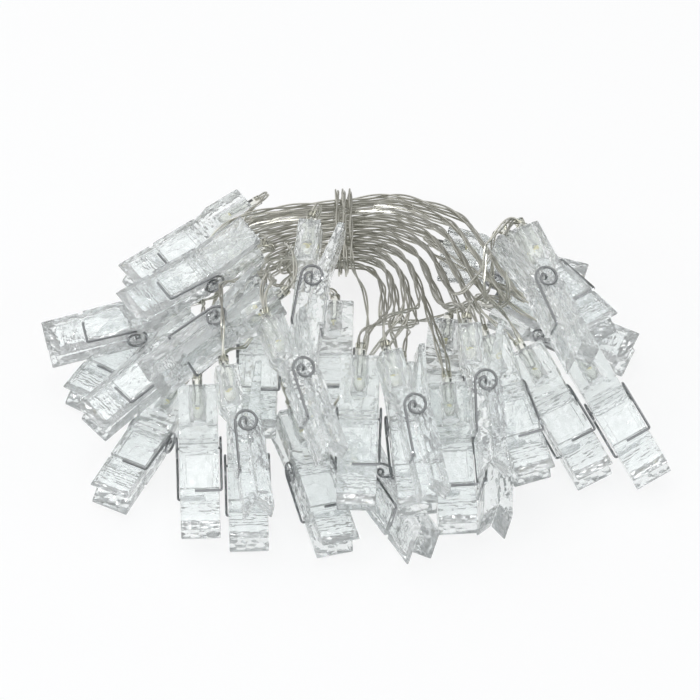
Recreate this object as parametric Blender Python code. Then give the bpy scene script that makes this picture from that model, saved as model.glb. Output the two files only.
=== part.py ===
"""Photo display string: thirty clear clips, each with its own lamp, on one folded string of wire.

The string lies bundled as it comes out of its bag: the wire runs to and fro in an arch between a
left and a right heap of clips, and a few turns of wire hold the arch together. Every clip has two
moulded levers that rock on the middle of a wire spring, and a lamp in the handle end of one lever.
Nine clips on top of the heaps are built in separate pieces and open. The others are joined, each
clip one solid. Metres, +Z up, seen from -Y.
"""

import math

import bmesh
import bpy
import numpy as np
from mathutils import Matrix

MM = 0.001

# Clip: reach on both sides of the pivot, width, and half thickness of a closed pair of levers
JAW_REACH = 27.5 * MM
HANDLE_REACH = 18.5 * MM
CLIP_LENGTH = JAW_REACH + HANDLE_REACH
CLIP_WIDTH = 12.0 * MM
JAW_HALF = 4.5 * MM
BODY_HALF = 4.9 * MM
PARTING_GAP = 0.3 * MM
MOUTH_DEPTH = 4.0 * MM
TIP_EDGE = 0.6 * MM
HOOK_PLACE = 15.0 * MM
GROOVE_WIDTH = 1.6 * MM
GROOVE_DEPTH = 0.9 * MM
RIB_START = 2.0 * MM
RIB_PITCH = 1.6 * MM
RIB_DEPTH = 0.7 * MM
RIB_COUNT = 3
NOTCH_RADIUS = 0.7 * MM
HANDLE_BEND = 4.0 * MM
HANDLE_RAMP = 2.5 * MM
HANDLE_DROP = 7.6 * MM
HANDLE_WALL = 2.0 * MM
PANEL_START = 3.6 * MM
PANEL_END = 13.0 * MM
PANEL_WIDTH = 8.0 * MM
PANEL_DEPTH = 0.5 * MM

# Lamp: a resin capsule with a narrower neck, in a bore along the handle of the lamp lever
LAMP_DIAMETER = 4.8 * MM
LAMP_LENGTH = 11.0 * MM
NECK_DIAMETER = 3.2 * MM
NECK_LENGTH = 4.5 * MM
LAMP_AXIS = 3.3 * MM
LAMP_LEVER_DEPTH = 6.6 * MM
LAMP_LEVER_BELOW = 0.4 * MM
BELOW_START = 2.0 * MM
BELOW_END = 5.0 * MM
BORE_DEPTH = 11.6 * MM
BORE_CLEARANCE = 0.3 * MM
BORE_OVERRUN = 1.0 * MM
DOME_SHARES = ((0.0, 0.35), (0.3, 0.8), (1.0, 1.0))
SHOULDER_SHARE = 0.3
LAMP_SIDES = 10

# Spring: one wire, a flat spiral on each side of the clip, its ends hooked over the two levers
SPRING_WIRE = 0.8 * MM
SPRING_CLEARANCE = 0.3 * MM
SPIRAL_OUTER = 3.4 * MM
SPIRAL_INNER = 1.1 * MM
SPIRAL_TURNS = 1.25
SPIRAL_CURVE = 2.5
HOOK_LENGTH = 8.2 * MM
CURL_POINTS = 7
JOINED_CURL_POINTS = 4

# String: the twisted pair as one round strand, the turn it makes at a lamp, and its own clearances
STRAND = 1.5 * MM
STRAND_GAP = 0.66 * MM
CLIP_GAP = 0.33 * MM
TURN_HALF = 1.35 * MM
TURN_CLEARANCE = 0.6 * MM
LEAD_OUT = 3.2 * MM
CELL = 1.4 * MM
SHARP_TURN = 50
CHAMFER = 1.4 * MM

# Arch: a flat band of strands in layers. Its middle line as shares of the clip's length, the way
# it heads, and how far its strands spread at each place of that line, as shares of their pitch
SLOT_PITCH = 3.3 * MM
LAYER_PITCH = 2.4 * MM
LAYERS = 3
ARCH_SHARES = (
    (-0.62, 0.76, 0.52),
    (-0.36, 0.99, 0.40),
    (-0.04, 1.09, 0.36),
    (0.22, 1.02, 0.46),
    (0.50, 0.72, 0.60),
    (0.68, 0.08, 0.68),
)
ARCH_HEADINGS = (30, 14, 0, -14, -42, -80)
SPREAD_SHARES = (1.05, 0.92, 0.86, 1.05, 1.3, 1.5)
LAYER_SHARES = (1.5, 1.15, 0.98, 1.1, 1.2, 1.2)
TIE_TURNS = 3
TIE_PITCH = 2.1 * MM
TIE_POINTS = 8
TIE_CLEARANCE = 0.7 * MM
TIE_TAIL_SHARES = (
    (0.10, 0.67, 0.24),
    (0.125, 0.52, 0.11),
    (0.115, 0.30, 0.045),
    (0.08, 0.08, 0.04),
    (0.02, -0.13, 0.04),
)

# Heap, in the order of the string: jaw end as shares of the clip's length, then heading, pitch
# and roll in degrees, and whether the clip is built in separate pieces
CLIP_SHARES = (
    (-1.52, 0.78, 0.17, -146, 8, 0, False),
    (1.61, 0.78, 0.15, -15, 4, 0, False),
    (-1.83, -0.27, 0.13, -122, 3, 0, False),
    (1.97, -0.90, 0.20, -61, 16, 20, False),
    (-2.05, -0.01, 0.42, -168, 8, 0, False),
    (1.92, 0.19, 0.17, -22, 8, 180, True),
    (-1.61, -1.14, 0.14, -117, 3, 0, False),
    (1.55, -0.48, 0.78, -62, 20, -90, True),
    (-1.74, -0.67, 0.39, -140, 14, 0, False),
    (1.62, -0.94, 0.17, -61, 16, 10, False),
    (-0.98, -1.49, 0.20, -88, 22, 0, False),
    (1.22, -1.19, 0.43, -70, 20, 0, False),
    (-1.49, -0.03, 0.75, -148, 8, 180, True),
    (0.95, -1.40, 0.18, -92, 4, 80, False),
    (-0.62, -1.52, 0.13, -88, 12, 0, False),
    (1.68, -0.12, 0.53, -53, 0, 0, False),
    (-0.60, -1.60, 0.54, -80, 26, 90, True),
    (0.94, -1.37, 0.67, -84, 28, 90, True),
    (-1.30, -0.70, 0.83, -148, 20, -90, True),
    (0.72, -1.46, 0.20, -86, 18, 0, False),
    (-0.61, -0.94, 0.59, -92, 18, 0, False),
    (0.55, -1.57, 0.67, -75, 26, 90, True),
    (-0.11, -1.31, 0.74, -67, 26, 90, True),
    (0.51, -1.57, 0.17, -60, 1, 75, False),
    (-0.08, -1.56, 0.17, -71, 16, -10, False),
    (0.40, -1.49, 0.46, -84, 18, 0, False),
    (-0.34, -0.55, 0.80, -98, 24, 90, True),
    (0.08, -1.39, 0.33, -92, 28, 0, False),
    (-0.14, -0.52, 0.17, -92, 2, 0, False),
    (0.58, -0.66, 0.17, -95, 0, 0, False),
)
HEAP_GAP = 0.35 * MM
SETTLE_ROUNDS = 400
OPEN_ANGLE = 12
ROUTE_TRIES = 400
PUSH_FACTOR = 1.5
PUSH_SHARE = 0.05
ROOM_AROUND = 4 * STRAND
OWN_REACH = 1.25
REACH_CELLS = 5
REACH_TRIES = 160
REACH_WANTED = 10
END_SHARE = 2.2
BEND_SHARE = 0.6
CORNER_SHARE = 1 / 3


def turned(heading, pitch, roll):
    """Columns: along the clip to the jaw, across it along the pivot, and out through the levers."""
    h, p, r = (math.radians(angle) for angle in (heading, pitch, roll))
    along = np.array((math.cos(h) * math.cos(p), math.sin(h) * math.cos(p), -math.sin(p)))
    level = np.array((-math.sin(h), math.cos(h), 0.0))
    across = level * math.cos(r) + np.cross(along, level) * math.sin(r)
    return np.column_stack((along, across, np.cross(along, across)))


def clip_boxes():
    """Boxes that hold one clip, low and high corners: jaw, middle with springs, handles, wire turn."""
    side = CLIP_WIDTH / 2
    coil = side + SPRING_CLEARANCE + SPRING_WIRE
    hook = HOOK_PLACE + GROOVE_WIDTH / 2
    turn = TURN_HALF + STRAND / 2
    far = HANDLE_REACH + NECK_LENGTH + TURN_CLEARANCE + LEAD_OUT
    return np.array((
        ((hook, -side, -JAW_HALF), (JAW_REACH, side, JAW_HALF)),
        ((-HANDLE_BEND, -coil, -BODY_HALF), (hook, coil, BODY_HALF)),
        ((-HANDLE_REACH, -side, -HANDLE_DROP), (-HANDLE_BEND, side, LAMP_LEVER_DEPTH)),
        ((-far, -turn, LAMP_AXIS - STRAND), (-HANDLE_REACH, turn, LAMP_AXIS + STRAND)),
    ))


def open_jaw_boxes():
    """Boxes that hold the jaw of the moving lever on its way open, outside those of the clip."""
    side = CLIP_WIDTH / 2 + SPRING_CLEARANCE + SPRING_WIRE
    rise = math.sin(math.radians(OPEN_ANGLE))
    ends = (0.0, HOOK_PLACE, JAW_REACH)
    return np.array([
        ((near, -side, -BODY_HALF - far * rise), (far, side, -BODY_HALF))
        for near, far in zip(ends[:-1], ends[1:])
    ])


def placed_boxes(pivots, turns, boxes):
    """Centres, half sizes, turns and clip numbers of every clip's boxes."""
    middle = (boxes[:, 0] + boxes[:, 1]) / 2
    half = (boxes[:, 1] - boxes[:, 0]) / 2
    centres = pivots[:, None] + np.einsum("nij,bj->nbi", turns, middle)
    count = len(boxes)
    owners = np.repeat(np.arange(len(pivots)), count)
    return centres.reshape(-1, 3), np.tile(half, (len(pivots), 1)), np.repeat(turns, count, 0), owners


def pushes(pivots, turns, boxes):
    """The pairs of clips nearer than HEAP_GAP, with the way and distance to part each pair."""
    centres, half, turn, owner = placed_boxes(pivots, turns, boxes)
    i, j = np.triu_indices(len(centres), 1)
    reach = np.linalg.norm(half, axis=1)
    near = (owner[i] != owner[j]) & (np.linalg.norm(centres[i] - centres[j], axis=1) < reach[i] + reach[j])
    i, j = i[near], j[near]
    axes = [turn[i][:, :, k] for k in range(3)] + [turn[j][:, :, k] for k in range(3)]
    for a in range(3):
        for b in range(3):
            cross = np.cross(turn[i][:, :, a], turn[j][:, :, b])
            size = np.linalg.norm(cross, axis=1, keepdims=True)
            axes.append(np.where(size > 0.01, cross / np.maximum(size, 0.01), axes[0]))
    axes = np.stack(axes, 1)
    apart = np.einsum("nak,nk->na", axes, centres[j] - centres[i])
    first = np.einsum("nam,nm->na", np.abs(np.einsum("nak,nkm->nam", axes, turn[i])), half[i])
    second = np.einsum("nam,nm->na", np.abs(np.einsum("nak,nkm->nam", axes, turn[j])), half[j])
    free = np.abs(apart) - first - second
    best = free.argmax(1)
    rows = np.arange(len(i))
    gap = free[rows, best]
    way = axes[rows, best] * np.sign(apart[rows, best])[:, None]
    close = gap < HEAP_GAP
    return owner[i][close], owner[j][close], way[close], HEAP_GAP - gap[close]


def settled(pivots, turns, boxes):
    """Clips moved apart until none touches another, and up until none is under the floor."""
    pivots = pivots.copy()
    for _ in range(SETTLE_ROUNDS):
        centres, half, turn, owner = placed_boxes(pivots, turns, boxes)
        low = centres[:, 2] - np.einsum("nk,nk->n", np.abs(turn[:, 2]), half)
        for number in range(len(pivots)):
            pivots[number, 2] -= min(low[owner == number].min(), 0.0)
        one, other, way, short = pushes(pivots, turns, boxes)
        if not len(one):
            break
        step = np.zeros_like(pivots)
        weight = np.zeros(len(pivots))
        for a, b, direction, amount in zip(one, other, way, short):
            step[a] -= direction * (amount + HEAP_GAP * PUSH_SHARE) / 2
            step[b] += direction * (amount + HEAP_GAP * PUSH_SHARE) / 2
            weight[a] += 1
            weight[b] += 1
        pivots += step / np.maximum(weight, 1)[:, None] * PUSH_FACTOR
    print("pairs of clips still nearer than the heap gap:", len(one))
    return pivots


def nearest(points, starts, ends):
    """Least distance from each point to any of the straight pieces from starts to ends."""
    way = ends - starts
    size = np.maximum((way * way).sum(1), 1e-12)
    share = np.clip(((points[:, None] - starts) * way).sum(2) / size, 0, 1)
    return np.linalg.norm(points[:, None] - starts - share[:, :, None] * way, axis=2).min(1)


def box_distance(points, centre, half, turn):
    inside = np.abs((points - centre) @ turn) - half
    return np.linalg.norm(np.maximum(inside, 0), axis=1)


def samples(points):
    """Points along a line of straight pieces, closer together than the strand is thick."""
    found = [points[:1]]
    for a, b in zip(points[:-1], points[1:]):
        steps = max(2, math.ceil(np.linalg.norm(b - a) / (STRAND / 2)) + 1)
        found.append(a + np.linspace(0, 1, steps)[1:, None] * (b - a))
    return np.concatenate(found)


class Space:
    """The room above the floor, in cells, with what the clips and the lines laid so far take."""

    def __init__(self, boxes, sweeps):
        self.boxes = tuple(np.concatenate((one, two)) for one, two in zip(boxes, sweeps))
        self.boxes[3][len(boxes[3]):] = -2
        boxes = self.boxes
        self.starts = np.zeros((0, 3))
        self.ends = np.zeros((0, 3))
        self.tags = np.zeros(0, int)
        self.taken = {}
        centres, half, turn, _ = boxes
        reach = np.linalg.norm(half, axis=1)[:, None]
        self.low = (centres - reach).min(0) - ROOM_AROUND
        self.low[2] = STRAND / 2 + CLIP_GAP
        high = (centres + reach).max(0) + ROOM_AROUND
        self.shape = np.ceil((high - self.low) / CELL).astype(int)
        axes = [self.low[k] + CELL * np.arange(self.shape[k]) for k in range(3)]
        self.cells = np.stack(np.meshgrid(*axes, indexing="ij"), -1).reshape(-1, 3)
        self.index = np.arange(len(self.cells)).reshape(self.shape)
        self.use = np.zeros(len(self.cells), np.int16)
        wide = STRAND / 2 + CLIP_GAP
        for c, h, r in zip(centres, half, turn):
            size = np.linalg.norm(h) + wide
            close = self.block(c - size, c + size)
            self.use[close[box_distance(self.cells[close], c, h, r) < wide]] = 1000

    def block(self, low, high):
        """The cells between two corners."""
        first = np.clip(np.ceil((low - self.low) / CELL).astype(int), 0, self.shape)
        last = np.clip(np.floor((high - self.low) / CELL).astype(int) + 1, 0, self.shape)
        return self.index[first[0]:last[0], first[1]:last[1], first[2]:last[2]].ravel()

    def clear(self, points, own=-1, tags=(), ends=()):
        """Whether a line keeps its distance; by its ends, its own clip and lines don't count."""
        probe = samples(points)
        if probe[:, 2].min() < STRAND / 2 + CLIP_GAP / 2:
            return False
        by_end = np.zeros(len(probe), bool)
        for end in ends:
            by_end |= np.linalg.norm(probe - end, axis=1) < OWN_REACH * (STRAND + STRAND_GAP)
        centres, half, turn, owner = self.boxes
        wide = STRAND / 2 + CLIP_GAP
        reach = np.linalg.norm(half, axis=1)
        middle = (probe[0] + probe[-1]) / 2
        span = np.linalg.norm(probe - middle, axis=1).max()
        close = np.linalg.norm(centres - middle, axis=1) < reach + wide + span
        for k in np.nonzero(close)[0]:
            near = np.linalg.norm(probe - centres[k], axis=1) < reach[k] + wide
            if owner[k] == own:
                near &= ~by_end
            if near.any() and box_distance(probe[near], centres[k], half[k], turn[k]).min() < wide:
                return False
        if not len(self.starts):
            return True
        low = probe.min(0) - 2 * STRAND
        high = probe.max(0) + 2 * STRAND
        near = ((np.maximum(self.starts, self.ends) > low) & (np.minimum(self.starts, self.ends) < high)).all(1)
        wide = STRAND + STRAND_GAP
        mine = np.isin(self.tags, tags)
        others = near & ~mine
        if others.any() and nearest(probe, self.starts[others], self.ends[others]).min() <= wide:
            return False
        if by_end.all() or not (near & mine).any():
            return True
        return nearest(probe[~by_end], self.starts[near & mine], self.ends[near & mine]).min() > wide

    def lay(self, points, tag):
        self.tags = np.concatenate((self.tags, np.full(len(points) - 1, tag)))
        self.starts = np.concatenate((self.starts, points[:-1]))
        self.ends = np.concatenate((self.ends, points[1:]))
        wide = STRAND + STRAND_GAP
        hits = []
        for a, b in zip(points[:-1], points[1:]):
            close = self.block(np.minimum(a, b) - wide, np.maximum(a, b) + wide)
            if len(close):
                hits.append(close[nearest(self.cells[close], a[None], b[None]) < wide])
        hits = np.unique(np.concatenate(hits)) if hits else np.zeros(0, int)
        self.use[hits] += 1
        self.taken[tag] = hits

    def lift(self, tag):
        keep = self.tags != tag
        self.tags, self.starts, self.ends = self.tags[keep], self.starts[keep], self.ends[keep]
        self.use[self.taken.pop(tag)] -= 1

    def state(self):
        return self.starts, self.ends, self.tags, self.use.copy(), dict(self.taken)

    def restore(self, state):
        self.starts, self.ends, self.tags, self.use, self.taken = state

    def crossed(self, points):
        """The lines laid so far that come too near this one."""
        probe = samples(points)
        way = self.ends - self.starts
        size = np.maximum((way * way).sum(1), 1e-12)
        share = np.clip(((probe[:, None] - self.starts) * way).sum(2) / size, 0, 1)
        far = np.linalg.norm(probe[:, None] - self.starts - share[:, :, None] * way, axis=2).min(0)
        return set(self.tags[far <= STRAND + STRAND_GAP].tolist())

    def around(self, point, own, tags):
        """Free cells near a point that a straight piece reaches."""
        close = self.block(point - REACH_CELLS * CELL, point + REACH_CELLS * CELL)
        close = close[self.use[close] == 0]
        close = close[np.linalg.norm(self.cells[close] - point, axis=1).argsort()]
        found = []
        for k in close[:REACH_TRIES]:
            if self.clear(np.array((point, self.cells[k])), own, tags, (point,)):
                found.append(k)
            if len(found) == REACH_WANTED:
                break
        return found

    def way(self, start, goal, start_near, goal_near, own, tags):
        """A line through free cells from start to goal, its needless corners left out."""
        ny, nz = self.shape[1], self.shape[2]
        steps = [
            (a * ny * nz + b * nz + c, (a * a + b * b + c * c) ** 0.5)
            for a in (-1, 0, 1) for b in (-1, 0, 1) for c in (-1, 0, 1) if a or b or c
        ]
        steps.sort(key=lambda step: step[1])
        inner = (self.use == 0).reshape(self.shape)
        inner[0] = inner[-1] = False
        inner[:, 0] = inner[:, -1] = False
        inner[:, :, -1] = False
        inner = inner.reshape(-1)
        came = np.full(len(inner), -1)
        front = np.array(goal_near)
        came[front] = front
        wanted = np.zeros(len(inner), bool)
        wanted[start_near] = True
        while len(front) and not wanted[front].any():
            found = []
            for step, _ in steps:
                after = front + step
                after = np.where((after >= 0) & (after < len(inner)), after, front)
                new = inner[after] & (came[after] < 0)
                came[after[new]] = front[new]
                found.append(np.unique(after[new]))
            front = np.unique(np.concatenate(found))
        hits = front[wanted[front]] if len(front) else front
        if not len(hits):
            return None
        at = hits[np.linalg.norm(self.cells[hits] - start, axis=1).argmin()]
        line = [start, self.cells[at]]
        while came[at] != at:
            at = came[at]
            line.append(self.cells[at])
        line = np.array(line + [goal])
        short = [0]
        while short[-1] < len(line) - 1:
            at = short[-1]
            step = next(
                (k for k in range(len(line) - 1, at + 1, -1) if self.clear(line[[at, k]], own, tags, (start, goal))),
                at + 1,
            )
            short.append(step)
        return line[short]


def arch_points():
    """Each slot's line through the arch, from the left mouth to the right one."""
    middle = np.array(ARCH_SHARES) * CLIP_LENGTH
    spans = len(CLIP_SHARES) - 1
    columns = math.ceil(spans / LAYERS)
    slots = []
    for column in range(columns):
        for layer in range(LAYERS):
            rise = layer - (LAYERS - 1) / 2
            across = column - (columns - 1) / 2 - rise / LAYERS
            slots.append((SLOT_PITCH * across, LAYER_PITCH * rise))
    slots.sort(key=lambda slot: (-slot[0], slot[1]))
    lines = []
    for across, rise in slots[:spans]:
        line = []
        for place, heading, spread, lift in zip(middle, ARCH_HEADINGS, SPREAD_SHARES, LAYER_SHARES):
            side = np.array((-math.sin(math.radians(heading)), math.cos(math.radians(heading)), 0.0))
            line.append(place + side * across * spread + np.array((0.0, 0.0, rise * lift)))
        lines.append(np.array(line))
    return lines


def local_line(number, points):
    return PIVOTS[number] + np.array(points) @ TURNS[number].T


def lamp_turns():
    """At each lamp, the line of the wire's turn past the neck, both ends leading away."""
    near = HANDLE_REACH + NECK_LENGTH + TURN_CLEARANCE + STRAND / 2
    bend = near + TURN_HALF * BEND_SHARE
    far = HANDLE_REACH + NECK_LENGTH + TURN_CLEARANCE + LEAD_OUT - CLIP_GAP
    shape = (
        (-far, TURN_HALF, LAMP_AXIS),
        (-bend, TURN_HALF, LAMP_AXIS),
        (-near, TURN_HALF / 2, LAMP_AXIS),
        (-near, -TURN_HALF / 2, LAMP_AXIS),
        (-bend, -TURN_HALF, LAMP_AXIS),
        (-far, -TURN_HALF, LAMP_AXIS),
    )
    return [local_line(number, shape) for number in range(len(CLIP_SHARES))]


def tie_line(arch):
    """A few turns of wire round the middle of the band, straight along it and round its edges, and
    its tail, which leaves the band's front edge and lies on the table."""
    reach = TIE_PITCH * TIE_TURNS / 2
    middles = np.array([
        line[2] + (beside - line[2]) * reach / abs(beside[0] - line[2][0])
        for line in arch for beside in (line[1], line[3])
    ])
    centre = (middles.min(0) + middles.max(0)) / 2
    half = (middles.max(0) - middles.min(0)) / 2
    line = []
    for step in range(TIE_TURNS * TIE_POINTS - TIE_POINTS // 4 + 1):
        angle = 2 * math.pi * step / TIE_POINTS - math.pi / 2
        out = np.array((0.0, math.cos(angle), math.sin(angle))).round(6)
        place = np.sign(out) * half + out * (STRAND + TIE_CLEARANCE)
        place[0] = TIE_PITCH * (step / TIE_POINTS - TIE_TURNS / 2)
        line.append(place)
    return np.concatenate((centre + np.array(line), np.array(TIE_TAIL_SHARES) * CLIP_LENGTH))


def reserve(space, line, tags):
    """Keeps the room just past both ends of a line for the pieces that will join it there."""
    for tag, (end, before) in zip(tags, (line[:2], line[:-3:-1])):
        way = (end - before) / np.linalg.norm(end - before)
        space.lay(np.array((end + way * STRAND, end + way * 2 * STRAND)), tag)


def joined_way(space, start, goal, clip, tags):
    near_start = space.around(start, clip, tags)
    near_goal = space.around(goal, -1, tags)
    if not near_start or not near_goal:
        return None
    return space.way(start, goal, near_start, near_goal, clip, tags)


def route(arch, turns):
    """Joins the lamps' turns to the arch, lifting lines that are in the way and laying them anew."""
    spans, clips = len(arch), len(turns)
    lamp_tag, arch_end_tag, lamp_end_tag, leg_tag = spans, spans + clips, 3 * spans + clips, 3 * (spans + clips)
    space = Space(placed_boxes(PIVOTS, TURNS, BOXES), SWEEPS)
    for span, line in enumerate(arch):
        space.lay(line, span)
        reserve(space, line, (arch_end_tag + 2 * span, arch_end_tag + 2 * span + 1))
    tie = tie_line(arch)
    space.lay(tie, -1)
    for clip, line in enumerate(turns):
        space.lay(line, lamp_tag + clip)
        reserve(space, line, (lamp_end_tag + 2 * clip, lamp_end_tag + 2 * clip + 1))
    legs = []
    for span in range(spans):
        left, right = (span, span + 1) if span % 2 == 0 else (span + 1, span)
        legs += [(left, span, 0), (right, span, 1)]
    legs.sort(key=lambda leg: turns[leg[0]][0][2])
    waiting = list(range(len(legs)))
    lines = {}
    spared = {}
    for _ in range(ROUTE_TRIES):
        if not waiting:
            break
        number = waiting.pop(0)
        clip, span, side = legs[number]
        end = 0 if clip == span + 1 else 1
        start, goal = turns[clip][-end], arch[span][-side]
        for tag in (lamp_end_tag + 2 * clip + end, arch_end_tag + 2 * span + side):
            if tag in space.taken:
                space.lift(tag)
        tags = (lamp_tag + clip, span)
        line = joined_way(space, start, goal, clip, tags)
        if line is None:
            kept = space.state()
            for memory in (spared.get(number, set()), set()):
                for tag in [tag for tag in space.taken if tag >= leg_tag and tag not in memory]:
                    space.lift(tag)
                line = joined_way(space, start, goal, clip, tags)
                if line is not None:
                    break
            space.restore(kept)
            crossed = [tag for tag in space.crossed(line) if tag >= leg_tag]
            spared[number] = spared.get(number, set()) | set(crossed)
            for tag in crossed:
                space.lift(tag)
                lines.pop(tag - leg_tag)
                waiting.append(tag - leg_tag)
        space.lay(line, leg_tag + number)
        lines[number] = line
    print("legs of the string laid:", len(lines), "of", len(legs))
    return {legs[number]: line for number, line in lines.items()}, tie


def string_line(arch, turns, legs):
    """The whole string, from the first lamp to the last one."""
    first = turns[0]
    line = [first[-1] + (first[-2] - first[-1]) * END_SHARE, first[-1]]
    for span in range(len(arch)):
        here, there = (0, 1) if span % 2 == 0 else (1, 0)
        line += list(legs[span, span, here][1:-1])
        line += list(arch[span] if here == 0 else arch[span][::-1])
        line += list(legs[span + 1, span, there][::-1][1:-1])
        line += list(turns[span + 1])
    line = line[:-5] + [line[-6] + (line[-5] - line[-6]) * END_SHARE]
    return np.array(line)


def softened(line):
    """The line with each sharp corner cut off, where the cut keeps clear of the other stretches."""
    soft = [line[0]]
    starts, ends = line[:-1], line[1:]
    places = np.arange(len(starts)) + 0.5
    for number in range(1, len(line) - 1):
        here = line[number]
        back, on = line[number - 1] - here, line[number + 1] - here
        turn = math.degrees(math.acos(np.clip(-back @ on / np.linalg.norm(back) / np.linalg.norm(on), -1, 1)))
        cut = np.array([
            here + way / np.linalg.norm(way) * min(CHAMFER, np.linalg.norm(way) * CORNER_SHARE)
            for way in (back, on)
        ])
        far = np.abs(places - number) > 3
        room = nearest(samples(cut), starts[far], ends[far]).min()
        if turn < SHARP_TURN or room < STRAND + STRAND_GAP:
            soft.append(here)
            continue
        soft += list(cut)
        starts = np.concatenate((starts, cut[:1]))
        ends = np.concatenate((ends, cut[1:]))
        places = np.append(places, number)
    return np.array(soft + [line[-1]])


def least_gap(line, width):
    """Least gap between stretches of a round wire that are not next to each other."""
    lengths = np.linalg.norm(np.diff(line, axis=0), axis=1)
    middle = np.concatenate(((0,), np.cumsum(lengths)))[:-1] + lengths / 2
    least = 1.0
    for number in range(len(lengths)):
        far = np.abs(middle - middle[number]) > 2 * width + (lengths + lengths[number]) / 2
        probe = samples(line[number:number + 2])
        least = min(least, nearest(probe, line[:-1][far], line[1:][far]).min())
    return least - width


def link(obj, colour, roughness, transmission=0.0, metallic=0.0):
    surface = bpy.data.materials.new(obj.name)
    surface.use_nodes = True
    shader = surface.node_tree.nodes["Principled BSDF"]
    shader.inputs["Base Color"].default_value = colour
    shader.inputs["Roughness"].default_value = roughness
    shader.inputs["Transmission Weight"].default_value = transmission
    shader.inputs["Metallic"].default_value = metallic
    obj.data.materials.clear()
    obj.data.materials.append(surface)
    bpy.context.scene.collection.objects.link(obj)
    return obj


def prism(outline, half_width):
    """A closed mesh from an outline in X and Z, as wide as the clip across Y."""
    body = bmesh.new()
    near = [body.verts.new((x, -half_width, z)) for x, z in outline]
    far = [body.verts.new((x, half_width, z)) for x, z in outline]
    body.faces.new(near)
    body.faces.new(far[::-1])
    for a, b, c, d in zip(near, near[1:] + near[:1], far[1:] + far[:1], far):
        body.faces.new((a, d, c, b))
    return finished(body)


def lathe(profile, height, sides):
    """A closed round mesh about a line along X at this height, from (place, radius) pairs."""
    body = bmesh.new()
    rings = []
    for place, radius in profile:
        angles = [2 * math.pi * (k + 0.5) / sides for k in range(sides)]
        rings.append([
            body.verts.new((place, radius * math.cos(a), height + radius * math.sin(a))) for a in angles
        ])
    for one, two in zip(rings[:-1], rings[1:]):
        for k in range(sides):
            body.faces.new((one[k], one[k - 1], two[k - 1], two[k]))
    body.faces.new(rings[0])
    body.faces.new(rings[-1][::-1])
    return finished(body)


def finished(body):
    bmesh.ops.recalc_face_normals(body, faces=body.faces)
    mesh = bpy.data.meshes.new("shape")
    body.to_mesh(mesh)
    body.free()
    return mesh


def block(low, high):
    x0, y0, z0 = low
    x1, y1, z1 = high
    mesh = prism(((x0, z0), (x1, z0), (x1, z1), (x0, z1)), (y1 - y0) / 2)
    mesh.transform(Matrix.Translation((0.0, (y0 + y1) / 2, 0.0)))
    return mesh


def tube(line, width, resolution):
    """A round wire along a line, as a closed mesh."""
    curve = bpy.data.curves.new("wire", "CURVE")
    curve.dimensions = "3D"
    curve.bevel_depth = width / 2
    curve.bevel_resolution = resolution
    curve.use_fill_caps = True
    spline = curve.splines.new("POLY")
    spline.points.add(len(line) - 1)
    for point, place in zip(spline.points, line):
        point.co = (*place, 1.0)
    holder = bpy.data.objects.new("wire", curve)
    bpy.context.scene.collection.objects.link(holder)
    bpy.context.view_layer.update()
    mesh = bpy.data.meshes.new_from_object(holder.evaluated_get(bpy.context.evaluated_depsgraph_get()))
    bpy.data.objects.remove(holder)
    body = bmesh.new()
    body.from_mesh(mesh)
    bmesh.ops.remove_doubles(body, verts=body.verts, dist=MM / 1000)
    return finished(body)


def combined(mesh, tools):
    """A mesh after each tool, a pair of mesh and operation, has been joined to it or cut from it."""
    holder = bpy.data.objects.new("body", mesh)
    bpy.context.scene.collection.objects.link(holder)
    cutters = []
    for tool, operation in tools:
        cutter = bpy.data.objects.new("tool", tool)
        bpy.context.scene.collection.objects.link(cutter)
        cutters.append(cutter)
        modifier = holder.modifiers.new("tool", "BOOLEAN")
        modifier.operation = operation
        modifier.solver = "EXACT"
        modifier.object = cutter
    bpy.context.view_layer.update()
    result = bpy.data.meshes.new_from_object(holder.evaluated_get(bpy.context.evaluated_depsgraph_get()))
    for used in (*cutters, holder):
        bpy.data.objects.remove(used)
    return result


def outer_face(side):
    """The outline of a lever's outer face from its tip to where the handle bends, side up or down."""
    front = HOOK_PLACE + GROOVE_WIDTH / 2
    back = HOOK_PLACE - GROOVE_WIDTH / 2
    floor = JAW_HALF - GROOVE_DEPTH
    line = [(JAW_REACH, JAW_HALF), (front, JAW_HALF), (front, floor), (back, floor), (back, BODY_HALF)]
    for rib in range(RIB_COUNT):
        edge = RIB_START - rib * RIB_PITCH
        line += [(edge, BODY_HALF), (edge - RIB_PITCH / 2, BODY_HALF - RIB_DEPTH)]
    line += [(RIB_START - RIB_COUNT * RIB_PITCH, BODY_HALF), (-HANDLE_BEND, BODY_HALF)]
    return [(x, side * z) for x, z in line]


def inner_face(side):
    """The outline of a lever's inner face from behind the spring's middle to its tip."""
    near = PARTING_GAP / 2
    line = [(-NOTCH_RADIUS, near)]
    for angle in (135, 90, 45):
        turn = math.radians(angle)
        line.append((NOTCH_RADIUS * math.cos(turn), NOTCH_RADIUS * math.sin(turn)))
    line += [(NOTCH_RADIUS, near), (JAW_REACH - MOUTH_DEPTH, near), (JAW_REACH, JAW_HALF - TIP_EDGE)]
    return [(x, side * z) for x, z in line]


LAMP_HANDLE = [
    (-HANDLE_BEND - HANDLE_RAMP, LAMP_LEVER_DEPTH),
    (-HANDLE_REACH, LAMP_LEVER_DEPTH),
    (-HANDLE_REACH, -LAMP_LEVER_BELOW),
    (-HANDLE_BEND - BELOW_END, -LAMP_LEVER_BELOW),
    (-HANDLE_BEND - BELOW_START, PARTING_GAP / 2),
]
PLAIN_HANDLE = [(-HANDLE_REACH, -HANDLE_DROP), (-HANDLE_REACH, HANDLE_WALL - HANDLE_DROP)]


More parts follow.
